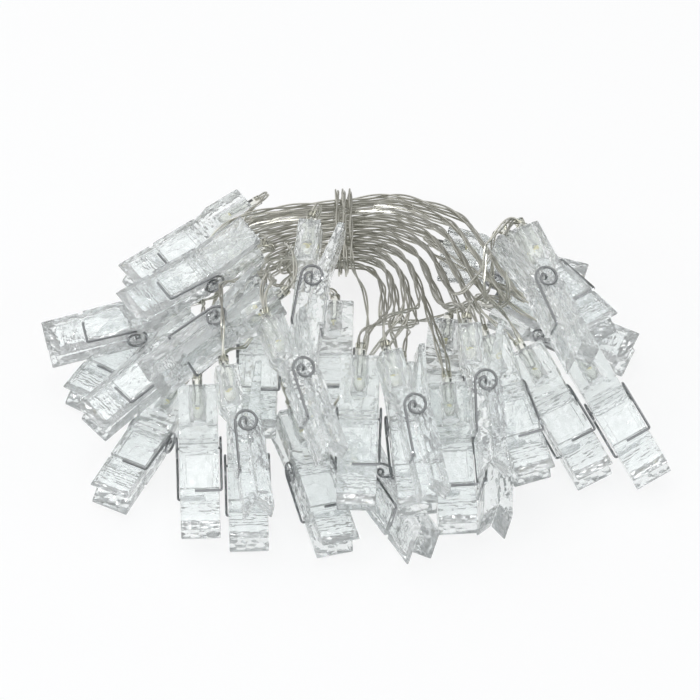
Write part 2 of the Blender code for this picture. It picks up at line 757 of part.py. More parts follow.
def panel(side):
    low, high = sorted((side * (BODY_HALF - PANEL_DEPTH), side * (BODY_HALF + PANEL_DEPTH)))
    return block((PANEL_START, -PANEL_WIDTH / 2, low), (PANEL_END, PANEL_WIDTH / 2, high))


def lamp_lever():
    bore = lathe(
        ((BORE_DEPTH - HANDLE_REACH, LAMP_DIAMETER / 2 + BORE_CLEARANCE),
         (-HANDLE_REACH - BORE_OVERRUN, LAMP_DIAMETER / 2 + BORE_CLEARANCE)), LAMP_AXIS, LAMP_SIDES)
    body = prism(outer_face(1) + LAMP_HANDLE + inner_face(1), CLIP_WIDTH / 2)
    return combined(body, ((panel(1), "DIFFERENCE"), (bore, "DIFFERENCE")))


def plain_lever():
    body = prism(outer_face(-1) + PLAIN_HANDLE + inner_face(-1), CLIP_WIDTH / 2)
    return combined(body, ((panel(-1), "DIFFERENCE"),))


def lamp():
    """The capsule: domed inside the bore, with a shoulder down to the neck that takes the wires."""
    radius = LAMP_DIAMETER / 2
    shoulder = -HANDLE_REACH - BORE_CLEARANCE
    tip = shoulder + LAMP_LENGTH
    dome = [(tip - radius * back, radius * wide) for back, wide in DOME_SHARES]
    neck = [
        (shoulder + radius * SHOULDER_SHARE, radius),
        (shoulder, NECK_DIAMETER / 2),
        (-HANDLE_REACH - NECK_LENGTH, NECK_DIAMETER / 2),
    ]
    return lathe(dome + neck, LAMP_AXIS, LAMP_SIDES)


def spring_line(curl_points):
    """Hook, arm and spiral on one side, straight through the pivot, and the same on the other."""
    side = CLIP_WIDTH / 2 + SPRING_CLEARANCE + SPRING_WIRE / 2
    rise = JAW_HALF - GROOVE_DEPTH + SPRING_CLEARANCE + SPRING_WIRE / 2
    line = [(HOOK_PLACE, side - HOOK_LENGTH, rise), (HOOK_PLACE, side, rise)]
    steps = round(SPIRAL_TURNS * curl_points)
    for step in range(steps + 1):
        share = step / steps
        angle = math.radians(90) + 2 * math.pi * SPIRAL_TURNS * share
        radius = SPIRAL_OUTER + (SPIRAL_INNER - SPIRAL_OUTER) * share ** SPIRAL_CURVE
        line.append((radius * math.cos(angle), side, radius * math.sin(angle)))
    line.append((0.0, side, 0.0))
    return np.array(line + [(x, -y, -z) for x, y, z in line[::-1]])


def joined_clip():
    """Both levers, the spring and the lamp of a clip as one solid, parted but for the pivot."""
    near = PARTING_GAP / 2
    pivot = (-NOTCH_RADIUS, 0.0)
    slit = [(NOTCH_RADIUS, near), (JAW_REACH - MOUTH_DEPTH, near), (JAW_REACH, JAW_HALF - TIP_EDGE)]
    lower = [(JAW_REACH, TIP_EDGE - JAW_HALF)] + outer_face(-1) + PLAIN_HANDLE
    outline = outer_face(1) + LAMP_HANDLE + [pivot] + lower[::-1] + [(x, -z) for x, z in slit[1::-1]] + slit
    neck = lathe(
        ((-HANDLE_REACH + NECK_DIAMETER, NECK_DIAMETER / 2),
         (-HANDLE_REACH - NECK_LENGTH, NECK_DIAMETER / 2)), LAMP_AXIS, LAMP_SIDES)
    spring = tube(spring_line(JOINED_CURL_POINTS), SPRING_WIRE, 0)
    return combined(prism(outline, CLIP_WIDTH / 2), (
        (panel(1), "DIFFERENCE"), (panel(-1), "DIFFERENCE"), (neck, "UNION"), (spring, "UNION")))


def place(name, mesh, number, look, on_pivot=False):
    """A copy of a clip's piece where that clip lies."""
    mesh = mesh.copy()
    turn = Matrix(TURNS[number].tolist()).to_4x4()
    mesh.transform(turn)
    obj = bpy.data.objects.new(name, mesh)
    if on_pivot:
        obj.location = PIVOTS[number]
    else:
        mesh.transform(Matrix.Translation(PIVOTS[number]))
    return link(obj, *look)


for leftover in list(bpy.data.objects):
    bpy.data.objects.remove(leftover)

PLASTIC = ((0.82, 0.84, 0.85, 1.0), 0.12, 0.7)
RESIN = ((0.86, 0.86, 0.82, 1.0), 0.1, 0.6)
STEEL = ((0.45, 0.45, 0.46, 1.0), 0.3, 0.0, 1.0)
WIRE = ((0.66, 0.65, 0.61, 1.0), 0.3)

BOXES = clip_boxes()
TABLE = np.array([row[:3] for row in CLIP_SHARES]) * CLIP_LENGTH
TURNS = np.array([turned(*row[3:6]) for row in CLIP_SHARES])
PIVOTS = settled(TABLE - TURNS[:, :, 0] * JAW_REACH, TURNS, BOXES)
OPENING = [number for number, row in enumerate(CLIP_SHARES) if row[6]]
SWEEPS = placed_boxes(PIVOTS[OPENING], TURNS[OPENING], open_jaw_boxes())

wire_turns = lamp_turns()
arch_lines = arch_points()
string_legs, tie_points = route(arch_lines, wire_turns)
string_points = softened(string_line(arch_lines, wire_turns, string_legs))

joined = joined_clip()
pieces = (
    ("lamp_lever", lamp_lever(), PLASTIC),
    ("moving_lever", plain_lever(), PLASTIC),
    ("spring", tube(spring_line(CURL_POINTS), SPRING_WIRE, 1), STEEL),
    ("lamp", lamp(), RESIN),
)
for clip_number in range(len(CLIP_SHARES)):
    title = f"clip_{clip_number + 1:02d}"
    if clip_number not in OPENING:
        place(title, joined, clip_number, PLASTIC)
        continue
    for piece, piece_mesh, piece_look in pieces:
        place(f"{title}_{piece}", piece_mesh, clip_number, piece_look, piece == "moving_lever")

corners = np.array([
    vert.co + obj.location
    for obj in bpy.context.scene.collection.objects for vert in obj.data.vertices
])
link(bpy.data.objects.new("string_wire", tube(string_points, STRAND, 0)), *WIRE)
link(bpy.data.objects.new("tie_wire", tube(tie_points, STRAND, 0)), *WIRE)

print("least gap of the string to itself, mm:", round(least_gap(string_points, STRAND) / MM, 2))
print("least gap of the tie to itself, mm:", round(least_gap(tie_points, STRAND) / MM, 2))
print("least gap of a spring to itself, mm:", round(least_gap(spring_line(CURL_POINTS), SPRING_WIRE) / MM, 2))
print("string length, mm:", round(np.linalg.norm(np.diff(string_points, axis=0), axis=1).sum() / MM), "points", len(string_points))

low, high = corners.min(0), corners.max(0)
base = np.array(((low[0] + high[0]) / 2, (low[1] + high[1]) / 2, low[2]))
for obj in bpy.context.scene.collection.objects:
    obj.location = np.array(obj.location) - base
for clip_number in OPENING:
    print("pivot of clip", clip_number + 1, (PIVOTS[clip_number] - base).round(6), "axis", TURNS[clip_number][:, 1].round(6))
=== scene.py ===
"""A photo display string as it comes out of its bag: thirty clear clips, each with a lamp in its
handle, in two heaps, and the wire that joins them folded to and fro in an arch between the heaps."""

import math

import bpy
import numpy as np
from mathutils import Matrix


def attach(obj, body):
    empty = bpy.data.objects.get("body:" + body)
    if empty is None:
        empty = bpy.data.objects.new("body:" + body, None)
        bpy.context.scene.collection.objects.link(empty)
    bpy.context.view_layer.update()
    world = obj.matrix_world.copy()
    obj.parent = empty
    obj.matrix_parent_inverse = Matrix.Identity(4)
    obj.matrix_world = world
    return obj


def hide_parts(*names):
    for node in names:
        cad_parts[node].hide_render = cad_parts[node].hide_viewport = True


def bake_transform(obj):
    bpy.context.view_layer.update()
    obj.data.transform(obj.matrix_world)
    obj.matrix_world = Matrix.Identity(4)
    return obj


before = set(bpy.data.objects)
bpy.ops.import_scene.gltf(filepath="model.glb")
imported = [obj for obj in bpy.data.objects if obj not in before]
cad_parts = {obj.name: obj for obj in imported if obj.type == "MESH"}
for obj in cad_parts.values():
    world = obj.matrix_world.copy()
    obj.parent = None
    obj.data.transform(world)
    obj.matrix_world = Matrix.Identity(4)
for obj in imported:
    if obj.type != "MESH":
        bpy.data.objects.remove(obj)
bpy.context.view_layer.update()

mm = 0.001


# The picture. The camera stands well back with a long lens and looks down on the bundle, which lies
# on a white sheet under one broad soft lamp and two narrower ones. Mirrored and bent light sees a
# white room that is greyer low down, which gives metal and clear plastic their edges.
def linear(code):
    """The linear colour of a six-figure sRGB code: each part over 255, then the sRGB curve undone."""
    parts = np.array([int(code[k:k + 2], 16) for k in (1, 3, 5)]) / 255
    plain = np.where(parts > 0.04045, ((parts + 0.055) / 1.055) ** 2.4, parts / 12.92)
    return (*plain.tolist(), 1.0)


def add(tree, kind, inputs=(), **settings):
    """Adds one node: settings are its own choices, inputs its sockets, each a value or a link."""
    made = tree.nodes.new(kind)
    for name, value in settings.items():
        setattr(made, name, value)
    for name, value in dict(inputs).items():
        if isinstance(value, bpy.types.NodeSocket):
            tree.links.new(value, made.inputs[name])
        else:
            made.inputs[name].default_value = value
    return made


picture_width = 221.2 * mm
look_down = math.radians(48)
camera_distance = 1.6
aim = np.array((-1.28, 20.27, 0.0)) * mm
back = np.array((0.0, -math.cos(look_down), math.sin(look_down)))
camera = bpy.data.objects.new("camera", bpy.data.cameras.new("camera"))
camera.data.lens = camera.data.sensor_width * camera_distance / picture_width
camera.location = aim + back * camera_distance
camera.rotation_euler = (math.pi / 2 - look_down, 0, 0)
bpy.context.scene.collection.objects.link(camera)
bpy.context.scene.camera = camera
bpy.context.scene.view_settings.view_transform = "Standard"
bounces = 32
bpy.context.scene.cycles.max_bounces = bounces
bpy.context.scene.cycles.transmission_bounces = bounces
bpy.context.scene.cycles.transparent_max_bounces = bounces

# Each lamp's name, its place and width in metres, and its power in watts.
lamp_rows = (
    ("broad lamp above", (-0.25, 0.1, 1.1), 1.2, 8.0),
    ("narrow lamp at the left", (-0.9, -0.5, 0.7), 0.25, 3.0),
    ("narrow lamp at the right", (0.9, -0.2, 0.5), 0.2, 1.6),
)
for title, place, width, power in lamp_rows:
    lamp_light = bpy.data.lights.new(title, "AREA")
    lamp_light.size = width
    lamp_light.energy = power
    holder = bpy.data.objects.new(title, lamp_light)
    holder.location = place
    holder.visible_glossy = title.startswith("narrow")
    way = np.array(place) / np.linalg.norm(place)
    holder.rotation_euler = (math.acos(way[2]), 0, math.atan2(way[1], way[0]) + math.pi / 2)
    bpy.context.scene.collection.objects.link(holder)

room = bpy.data.worlds.new("room")
room.use_nodes = True
room.node_tree.nodes.clear()
seen = add(room.node_tree, "ShaderNodeLightPath")
soft_white = add(room.node_tree, "ShaderNodeBackground", {"Color": linear("#F2F4F6"), "Strength": 0.55})
bright_white = add(room.node_tree, "ShaderNodeBackground", {"Color": linear("#FFFFFF"), "Strength": 1.0})
plain_room = add(room.node_tree, "ShaderNodeMixShader", {
    0: seen.outputs["Is Camera Ray"], 1: soft_white.outputs[0], 2: bright_white.outputs[0]})
height = add(room.node_tree, "ShaderNodeSeparateXYZ", {
    0: add(room.node_tree, "ShaderNodeTexCoord").outputs["Generated"]})
overhead = add(room.node_tree, "ShaderNodeMapRange", {
    "Value": height.outputs["Z"], "From Min": 0.45, "From Max": 0.85, "To Min": 0.36, "To Max": 1.0},
    interpolation_type="SMOOTHSTEP")
studio = add(room.node_tree, "ShaderNodeBackground", {
    "Color": linear("#FFFFFF"), "Strength": overhead.outputs[0]})
bent_or_mirrored = add(room.node_tree, "ShaderNodeMath", {
    0: seen.outputs["Is Transmission Ray"], 1: seen.outputs["Is Glossy Ray"]}, operation="MAXIMUM")
whole_room = add(room.node_tree, "ShaderNodeMixShader", {
    0: bent_or_mirrored.outputs[0], 1: plain_room.outputs[0], 2: studio.outputs[0]})
add(room.node_tree, "ShaderNodeOutputWorld", {"Surface": whole_room.outputs[0]})
bpy.context.scene.world = room

sheet_half = 4.0
sheet_drop = 0.1 * mm
sheet_mesh = bpy.data.meshes.new("white sheet")
sheet_mesh.from_pydata(
    [(x * sheet_half, y * sheet_half, -sheet_drop) for x, y in ((-1, -1), (1, -1), (1, 1), (-1, 1))],
    [], [(0, 1, 2, 3)])
white_sheet = bpy.data.objects.new("white sheet", sheet_mesh)
bpy.context.scene.collection.objects.link(white_sheet)
paper = bpy.data.materials.new("white paper")
paper.use_nodes = True
paper.node_tree.nodes.clear()
seen = add(paper.node_tree, "ShaderNodeLightPath")
lit = add(paper.node_tree, "ShaderNodeBsdfDiffuse", {"Color": linear("#E9EAEB")})
plain_white = add(paper.node_tree, "ShaderNodeEmission", {"Color": linear("#FFFFFF"), "Strength": 1.0})
straight = add(paper.node_tree, "ShaderNodeMath", {
    0: seen.outputs["Is Camera Ray"], 1: seen.outputs["Is Glossy Ray"]}, operation="MAXIMUM")
any_sight = add(paper.node_tree, "ShaderNodeMath", {
    0: straight.outputs[0], 1: seen.outputs["Is Transmission Ray"]}, operation="MAXIMUM")
share_white = add(paper.node_tree, "ShaderNodeMath", {
    0: any_sight.outputs[0], 1: 0.8}, operation="MULTIPLY")
whitened = add(paper.node_tree, "ShaderNodeMixShader", {
    0: share_white.outputs[0], 1: lit.outputs[0], 2: plain_white.outputs[0]})
add(paper.node_tree, "ShaderNodeOutputMaterial", {"Surface": whitened.outputs[0]})
sheet_mesh.materials.append(paper)


# Where each clip lies, in the order of the string. A clip is turned by its heading, its pitch and
# its roll in degrees, and its pivot is found from the reach of its solid. A clip is measured from
# its pivot: forward to the jaw's tip, back to the handles' ends, and out through its two levers.
jaw_reach = 27.5 * mm
handle_reach = 18.5 * mm
lamp_lever_depth = 6.6 * mm
clip_turns = (
    (-146, 8, 0), (-15, 4, 0), (-122, 3, 0), (-61, 16, 20), (-168, 8, 0), (-22, 8, 180),
    (-117, 3, 0), (-62, 20, -90), (-140, 14, 0), (-61, 16, 10), (-88, 22, 0), (-70, 20, 0),
    (-148, 8, 180), (-92, 4, 80), (-88, 12, 0), (-53, 0, 0), (-80, 26, 90), (-84, 28, 90),
    (-148, 20, -90), (-86, 18, 0), (-92, 18, 0), (-75, 26, 90), (-67, 26, 90), (-60, 1, 75),
    (-71, 16, -10), (-84, 18, 0), (-98, 24, 90), (-92, 28, 0), (-92, 2, 0), (-95, 0, 0),
)


def turned(heading, pitch, roll):
    """Columns: along the clip to the jaw, across it along the pivot, and out through the levers."""
    h, p, r = (math.radians(angle) for angle in (heading, pitch, roll))
    along = np.array((math.cos(h) * math.cos(p), math.sin(h) * math.cos(p), -math.sin(p)))
    level = np.array((-math.sin(h), math.cos(h), 0.0))
    across = level * math.cos(r) + np.cross(along, level) * math.sin(r)
    return np.column_stack((along, across, np.cross(along, across)))


def corners_of(node):
    """The corners of a CAD node's mesh in the row frame, as rows of three."""
    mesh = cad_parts[node].data
    flat = np.empty(len(mesh.vertices) * 3)
    mesh.vertices.foreach_get("co", flat)
    return flat.reshape(-1, 3)


def pivot_of(node, turn):
    """Unturns the node's corners; the pivot is a jaw's reach back from the tip, halfway across, and
    a lamp lever's depth in from the outermost corner."""
    local = corners_of(node) @ turn
    low, high = local.min(0), local.max(0)
    return turn @ np.array((high[0] - jaw_reach, (low[1] + high[1]) / 2, high[2] - lamp_lever_depth))


titles = [f"clip_{number:02d}" for number in range(1, len(clip_turns) + 1)]
opening = [title + "_moving_lever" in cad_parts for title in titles]
turns = [turned(*row) for row in clip_turns]
pivots = [
    pivot_of(title + "_lamp_lever" if apart else title, turn)
    for title, apart, turn in zip(titles, opening, turns)
]


# The string: two tinned copper wires, each in its own clear insulation, twisted loosely into a pair.
# The pair runs from lamp to lamp and is soldered into each neck, so it is built lamp to lamp.
lamp_axis = 3.3 * mm
neck_length = 4.5 * mm
neck_radius = 1.6 * mm
clip_width = 12 * mm
jaw_half = 4.5 * mm
body_half = 4.9 * mm
hook_front = 15.8 * mm
handle_bend = 4 * mm
handle_drop = 7.6 * mm
spring_side = 7.1 * mm
strand = 1.5 * mm
single_wire = 0.64 * mm
twist_lay = 26 * mm
wire_sides = 6
turn_half = 1.35 * mm
turn_clearance = 0.6 * mm
lead_inside = 1.6 * mm
line_step = 0.6 * mm
string_reach = 1.8 * mm


def tube_middles(node, start, sides=4):
    """Middles of a CAD tube's rings of corners, from the ring nearest start: each next ring is every
    corner that shares an edge with the last one and isn't in a ring yet, and its middle their mean."""
    spots, index = np.unique(corners_of(node), axis=0, return_inverse=True)
    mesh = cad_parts[node].data
    flat = np.empty(len(mesh.edges) * 2, np.int32)
    mesh.edges.foreach_get("vertices", flat)
    ends = index.reshape(-1)[flat.reshape(-1, 2)]
    ends = np.concatenate((ends, ends[:, ::-1]))
    ring = np.zeros(len(spots), bool)
    ring[np.argsort(np.linalg.norm(spots - start, axis=1))[:sides]] = True
    met = ring.copy()
    middles = []
    while ring.any():
        middles.append(spots[ring].mean(0))
        ring = np.zeros(len(spots), bool)
        joined = met[ends[:, 0]] & ~met[ends[:, 1]]
        ring[ends[joined, 1]] = True
        met |= ring
    return np.array(middles)


def smoothed(line, step, reach):
    """The line at even steps, each point then the mean of its neighbours under a bell curve of this
    reach; beyond an end the line counts as turned about the end, so the ends stay."""
    lengths = np.linalg.norm(np.diff(line, axis=0), axis=1)
    along = np.concatenate(((0,), np.cumsum(lengths)))
    count = max(8, round(along[-1] / step))
    places = np.linspace(0, along[-1], count + 1)
    even = np.column_stack([np.interp(places, along, line[:, k]) for k in range(3)])
    span = min(int(3 * reach / step), count - 1)
    bell = np.exp(-0.5 * (np.arange(-span, span + 1) * step / reach) ** 2)
    longer = np.concatenate((2 * even[:1] - even[span:0:-1], even, 2 * even[-1:] - even[-2:-span - 2:-1]))
    return np.column_stack([np.convolve(longer[:, k], bell / bell.sum(), "valid") for k in range(3)])


# Four boxes round a clip: jaw, middle with springs, handles and neck. On a clip that opens, the
# first three are larger by what its lever sweeps at the jaw's tip, below the middle and behind.
jaw_sweep = 6.0 * mm
middle_sweep = 3.6 * mm
handle_sweep = 1.7 * mm
box_lows = np.array((
    (hook_front, -clip_width / 2, -jaw_half),
    (-handle_bend, -spring_side, -body_half),
    (-handle_reach, -clip_width / 2, -handle_drop),
    (-handle_reach - neck_length, -neck_radius, lamp_axis - neck_radius),
))
box_highs = np.array((
    (jaw_reach, clip_width / 2, jaw_half),
    (hook_front, spring_side, body_half),
    (-handle_bend, clip_width / 2, lamp_lever_depth),
    (-handle_reach, neck_radius, lamp_axis + neck_radius),
))
box_sweeps = np.array(((0, 0, -jaw_sweep), (0, 0, -middle_sweep), (-handle_sweep, 0, 0), (0, 0, 0)))
clip_lows = [box_lows + box_sweeps * apart for apart in opening]
box_middles = np.concatenate([
    pivot + (lows + box_highs) / 2 @ turn.T for pivot, lows, turn in zip(pivots, clip_lows, turns)])
box_halves = np.concatenate([(box_highs - lows) / 2 for lows in clip_lows])
box_turns = np.repeat(np.array(turns), len(box_lows), 0)
ease_rounds = 110
free_ends = 8


def eased(line):
    """The line drawn smooth a little at a time: each round every point goes halfway to the mean of
    its neighbours, then out of any clip's box that it has entered, by the shortest way, and off the
    floor. The ends keep their place."""
    line = line.copy()
    room = box_halves + strand / 2
    near = np.linalg.norm(box_middles - line.mean(0), axis=1)
    reach = np.linalg.norm(room, axis=1) + np.linalg.norm(line - line.mean(0), axis=1).max()
    middles, room, box_turn = box_middles[near < reach], room[near < reach], box_turns[near < reach]
    for _ in range(ease_rounds):
        line[1:-1] += ((line[:-2] + line[2:]) / 2 - line[1:-1]) / 2
        held = line[free_ends:-free_ends]
        local = np.einsum("nbk,bkj->nbj", held[:, None] - middles, box_turn)
        depth = room - np.abs(local)
        inside = (depth > 0).all(2)
        axis = depth.argmin(2)
        amount = np.take_along_axis(depth, axis[..., None], 2)[..., 0] * inside
        side = np.sign(np.take_along_axis(local, axis[..., None], 2)[..., 0])
        ways = np.take_along_axis(
            np.broadcast_to(box_turn, (len(held), *box_turn.shape)), axis[..., None, None], 3)[..., 0]
        held += (ways * (amount * side)[..., None]).sum(1)
        held[:, 2] = np.maximum(held[:, 2], strand / 2)
    return line


def crosswise(line):
    """Two directions across the line at each point, carried along it without turning about it. The
    first comes from a slanting one that no line here starts along."""
    way = np.gradient(line, axis=0)
    way /= np.linalg.norm(way, axis=1)[:, None]
    first = np.cross(way[0], (0.36, 0.48, 0.8))
    across = [first / np.linalg.norm(first)]
    for direction in way[1:]:
        carried = across[-1] - direction * (across[-1] @ direction)
        across.append(carried / np.linalg.norm(carried))
    across = np.array(across)
    return across, np.cross(way, across)


def twisted_pair(line, width, single, lay):
    """Two round wires about a line: at the distance s along it a wire's middle is half of width less
    single out at the angle 2 pi s / lay, the other opposite, and its skin a circle single across."""
    one, two = crosswise(line)
    lengths = np.linalg.norm(np.diff(line, axis=0), axis=1)
    along = np.concatenate(((0,), np.cumsum(lengths)))
    side = 2 * math.pi * along[:, None] / lay + np.array((0, math.pi))
    around = 2 * math.pi * np.arange(wire_sides) / wire_sides
    out = (width - single) / 2
    first = out * np.cos(side)[:, :, None] + single / 2 * np.cos(around)
    second = out * np.sin(side)[:, :, None] + single / 2 * np.sin(around)
    skin = first[..., None] * one[:, None, None] + second[..., None] * two[:, None, None]
    skin += line[:, None, None]
    return [skin[:, 0].reshape(-1, 3), skin[:, 1].reshape(-1, 3)]


def closed_skin(corners, sides):
    """Faces of a tube given as rings of corners one after another: quads between rings, and a cap on
    the first and the last ring. The corners run round the way that a screw goes along the tube."""
    rings = len(corners) // sides
    here = np.arange(rings - 1)[:, None] * sides + np.arange(sides)
    beside = np.arange(rings - 1)[:, None] * sides + (np.arange(sides) + 1) % sides
    quads = np.stack((here, beside, beside + sides, here + sides), -1).reshape(-1, 4)
    return quads.tolist() + [list(range(sides))[::-1], list(range((rings - 1) * sides, rings * sides))]


def built(title, parts, material, crease=40):
    """One object from parts, each a pair of corners and faces, smooth where faces meet flatter than
    the crease angle."""
    corners, faces, count = [], [], 0
    for part_corners, part_faces in parts:
        corners.append(part_corners)
        faces += [[corner + count for corner in face] for face in part_faces]
        count += len(part_corners)
    mesh = bpy.data.meshes.new(title)
    mesh.from_pydata(np.concatenate(corners).tolist(), [], faces)
    mesh.shade_smooth()
    mesh.set_sharp_from_angle(angle=math.radians(crease))
    mesh.materials.append(material)
    obj = bpy.data.objects.new(title, mesh)
    bpy.context.scene.collection.objects.link(obj)
    return obj


# Clear soft insulation over tinned copper strands: a silvery grey with a thin bright line along it.
insulated = bpy.data.materials.new("clear insulation over tinned copper")
insulated.use_nodes = True
shader = insulated.node_tree.nodes["Principled BSDF"]
shader.inputs["Base Color"].default_value = linear("#C4C3BA")
shader.inputs["Metallic"].default_value = 0.9
shader.inputs["Roughness"].default_value = 0.3
shader.inputs["Coat Weight"].default_value = 0.35
shader.inputs["Coat Roughness"].default_value = 0.06


def neck_end(number, across, back_off):
    """A point by a lamp's neck: back_off beyond the neck's end, and across to one side."""
    local = np.array((-(handle_reach + neck_length + back_off), across, lamp_axis))
    return pivots[number] + turns[number] @ local


string_start = neck_end(0, -turn_half, turn_clearance)
string_middles = tube_middles("string_wire", string_start)
turn_places = [
    np.linalg.norm(string_middles - neck_end(number, 0, turn_clearance + strand / 2), axis=1).argmin()
    for number in range(len(titles))
]
turn_places[0], turn_places[-1] = 0, len(string_middles) - 1
for number in range(len(titles) - 1):
    stretch = string_middles[turn_places[number] + 1:turn_places[number + 1]]
    leaving = [neck_end(number, -turn_half / 2, back_off) for back_off in (-lead_inside, 0)]
    coming = [neck_end(number + 1, turn_half / 2, back_off) for back_off in (0, -lead_inside)]
    route = eased(smoothed(np.concatenate((leaving, stretch, coming)), line_step, string_reach))
    skins = twisted_pair(route, strand, single_wire, twist_lay)
    parts = [(skin, closed_skin(skin, wire_sides)) for skin in skins]
    pair = built(f"wire_{number + 1:02d}", parts, insulated)
    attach(pair, "heap")
    if number == 0:
        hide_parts("string_wire")


# The tie: a length of the same pair of wires, wound nearly three times round the arch by hand. It
# keeps the folded string together. It is laid from its left end, and its tail lies on the table.
tie_reach = 2.4 * mm
tie_corners = corners_of("tie_wire")
tie_start = tie_corners[tie_corners[:, 0].argmin()]
tie_route = smoothed(tube_middles("tie_wire", tie_start), line_step, tie_reach)
skins = twisted_pair(tie_route, strand, single_wire, twist_lay)
tie = built("tie_pair", [(skin, closed_skin(skin, wire_sides)) for skin in skins], insulated)
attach(tie, "heap")
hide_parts("tie_wire")


# The levers of a clip, moulded in clear polystyrene in a polished mould. Both have a hook groove, a
# sunk panel, ribs behind the pivot, teeth in the mouth and a fishtail tip.
half_parting = 0.15 * mm
mouth_depth = 4 * mm
tip_edge = 0.6 * mm
groove_width = 1.6 * mm
groove_depth = 0.9 * mm
hook_place = hook_front - groove_width / 2
rib_start = 2 * mm
rib_pitch = 1.6 * mm
rib_depth = 0.7 * mm
rib_count = 3
notch_radius = 0.7 * mm
notch_angles = (150, 120, 90, 60, 30)
handle_wall = 2 * mm
handle_slope = 2.5 * mm
parting_start = 2 * mm
parting_slope = 3 * mm
panel_start = 3.6 * mm
panel_end = 13 * mm
panel_width = 8 * mm
panel_depth = 0.5 * mm
panel_slope = 0.06 * mm
lamp_lever_below = 0.4 * mm
bore_depth = 11.6 * mm
bore_radius = 2.7 * mm
bore_bevel = 0.3 * mm
tooth_start = 17 * mm
tooth_pitch = 1.1 * mm
tooth_depth = 0.25 * mm
tooth_count = 5
edge_round = 0.35 * mm
round_share = 0.29
step_run = 0.04 * mm


def outer_profile():
    """Places along the lever and heights of its outer face, from the handle's bend to the tip."""
    front, rear = hook_front, hook_place - groove_width / 2
    line = [(-handle_bend, body_half), (rib_start - rib_count * rib_pitch, body_half)]
    for rib in range(rib_count - 1, -1, -1):
        edge = rib_start - rib * rib_pitch
        line += [(edge - rib_pitch / 2, body_half - rib_depth), (edge, body_half)]
    line += [(rear, body_half), (rear + step_run, jaw_half - groove_depth)]
    line += [(front - step_run, jaw_half - groove_depth), (front, jaw_half), (jaw_reach, jaw_half)]
    return np.array(line)


def inner_profile():
    """Places along the lever and heights of its inner face, from behind the pivot to the tip."""
    line = [(-notch_radius, half_parting)]
    for angle in notch_angles:
        turn = math.radians(angle)
        line.append((notch_radius * math.cos(turn), half_parting + notch_radius * math.sin(turn)))
    line += [(notch_radius, half_parting)]
    for tooth in range(tooth_count):
        edge = tooth_start + tooth * tooth_pitch
        line += [(edge, half_parting), (edge + tooth_pitch / 2, half_parting + tooth_depth)]
    line += [(tooth_start + tooth_count * tooth_pitch, half_parting)]
    line += [(jaw_reach - mouth_depth, half_parting), (jaw_reach, jaw_half - tip_edge)]
    return np.array(line)


def section(place, low, high, sunk, inset):
    """Rings round a lever at each place: a box between the low and high heights as wide as the clip,
    its four edges rounded (halfway round an edge of radius r lies about 0.29 r in from the corner),
    and the middle of its high side sunk by a panel."""
    half = clip_width / 2 - inset
    low = low + inset
    high = high - inset
    r = np.minimum(edge_round, (high - low) / 3)
    far = np.full_like(place, panel_width / 2 + panel_slope)
    near = np.full_like(place, panel_width / 2 - panel_slope)
    nil = np.zeros_like(place)
    third = nil + panel_width / 6
    corner = round_share * r
    rows = [
        (-half + r, low), (-third * 2, low), (nil, low), (third * 2, low), (half - r, low),
        (half - corner, low + corner), (half, low + r), (half, (low + high) / 2), (half, high - r),
        (half - corner, high - corner), (half - r, high), (far, high), (near, high - sunk),
        (third, high - sunk), (nil, high - sunk), (-third, high - sunk), (-near, high - sunk),
        (-far, high), (-half + r, high), (-half + corner, high - corner), (-half, high - r),
        (-half, (low + high) / 2), (-half, low + r), (-half + corner, low + corner),
    ]
    return np.stack([np.column_stack((place, nil + across, nil + height)) for across, height in rows], 1)


def lever_sections(outer, inner):
    """Sections of a lever at every place where its outer or inner profile bends, the first and the
    last one again drawn in by the rounding of the end."""
    start, end = outer[0, 0], jaw_reach
    sunk_edges = (panel_start, panel_start + step_run, panel_end - step_run, panel_end)
    places = np.unique(np.concatenate((outer[:, 0], inner[:, 0], sunk_edges)).round(6))
    places = np.concatenate(((start, start + edge_round), places[1:-1], (end - edge_round, end)))
    places = np.unique(places)
    high = np.interp(places, outer[:, 0], outer[:, 1])
    low = np.interp(places, inner[:, 0], inner[:, 1])
    sunk = np.interp(places, sunk_edges, (0, panel_depth, panel_depth, 0))
    inset = np.zeros(len(places))
    inset[[0, -1]] = edge_round / 2
    return section(places, low, high, sunk, inset)


lamp_outer = np.concatenate((
    [(-handle_reach, lamp_lever_depth), (-handle_bend - handle_slope, lamp_lever_depth)], outer_profile()))
lamp_inner = np.concatenate((
    [(-handle_reach, -lamp_lever_below), (-handle_bend - parting_start - parting_slope, -lamp_lever_below),
     (-handle_bend - parting_start, half_parting)], inner_profile()))
plain_outer = np.concatenate(([(-handle_reach, handle_drop)], outer_profile()))
plain_inner = np.concatenate(([(-handle_reach, handle_drop - handle_wall)], inner_profile()))

lamp_rings = lever_sections(lamp_outer, lamp_inner)
around = np.arctan2(lamp_rings[0, :, 2] - lamp_axis, lamp_rings[0, :, 1])
bore_bottom = bore_depth - handle_reach
bore_places = np.array((bore_bottom, bore_bottom - bore_bevel, -handle_reach))
bore_radii = np.array((bore_radius - bore_bevel, bore_radius, bore_radius))
bore_circle = np.column_stack((np.zeros(len(around)), np.cos(around), np.sin(around)))
bore_rings = bore_radii[:, None, None] * bore_circle
bore_rings[..., 0] = bore_places[:, None]
bore_rings[..., 2] += lamp_axis
ring_sides = lamp_rings.shape[1]
lamp_lever_corners = np.concatenate((bore_rings, lamp_rings)).reshape(-1, 3)
plain_lever_corners = lever_sections(plain_outer, plain_inner) * (1, 1, -1)
plain_lever_corners = plain_lever_corners[:, ::-1].reshape(-1, 3)

